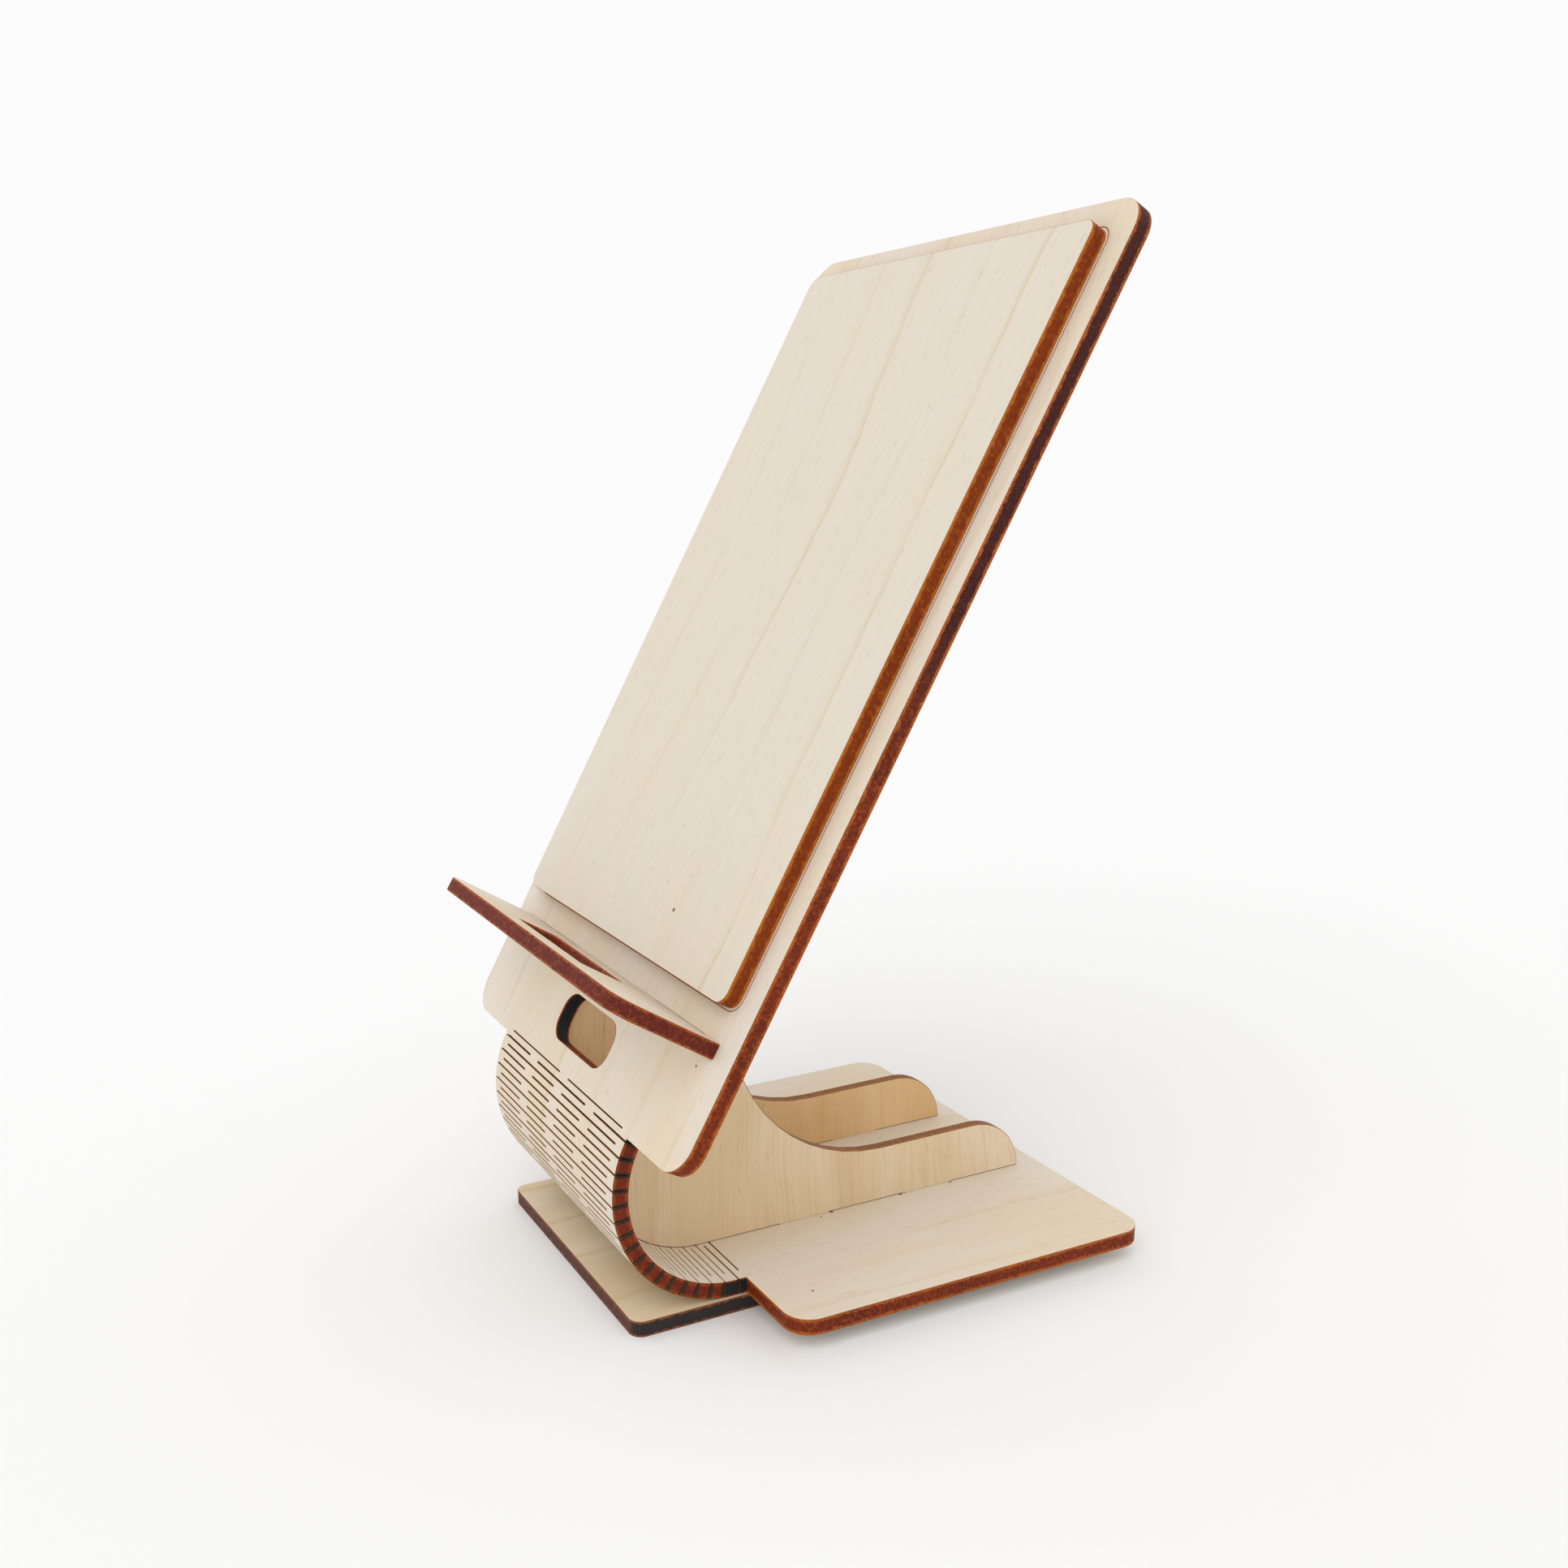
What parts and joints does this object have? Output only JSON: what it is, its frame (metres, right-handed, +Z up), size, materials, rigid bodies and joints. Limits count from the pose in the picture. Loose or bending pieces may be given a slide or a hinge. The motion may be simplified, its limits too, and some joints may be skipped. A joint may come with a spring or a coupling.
{
  "type": "phone stand",
  "caption": "Plywood phone stand: one sheet bent at a cut hinge into base and leaning back panel, with a back pad, phone ledge, ribs and foot plate.",
  "frame": {"origin": "centre of the footprint of the whole stand's bounding box, on the surface it stands on", "axes": "+X to the stand's right seen from the front, +Y backwards, away from the user, +Z up"},
  "size_m": [0.0944, 0.104, 0.1818],
  "materials": {
    "main_sheet": "bare birch plywood, laser-burnt brown edges",
    "back_pad": "bare birch plywood, laser-burnt brown edges",
    "phone_ledge": "bare birch plywood, laser-burnt brown edges",
    "left_rib": "bare birch plywood, laser-burnt brown edges",
    "right_rib": "bare birch plywood, laser-burnt brown edges",
    "foot_plate": "bare birch plywood, laser-burnt brown edges"
  },
  "bodies": {
    "root": {"main_sheet": "main_sheet", "back_pad": "back_pad", "phone_ledge": "phone_ledge", "left_rib": "left_rib", "right_rib": "right_rib", "foot_plate": "foot_plate"}
  },
  "joints": []
}
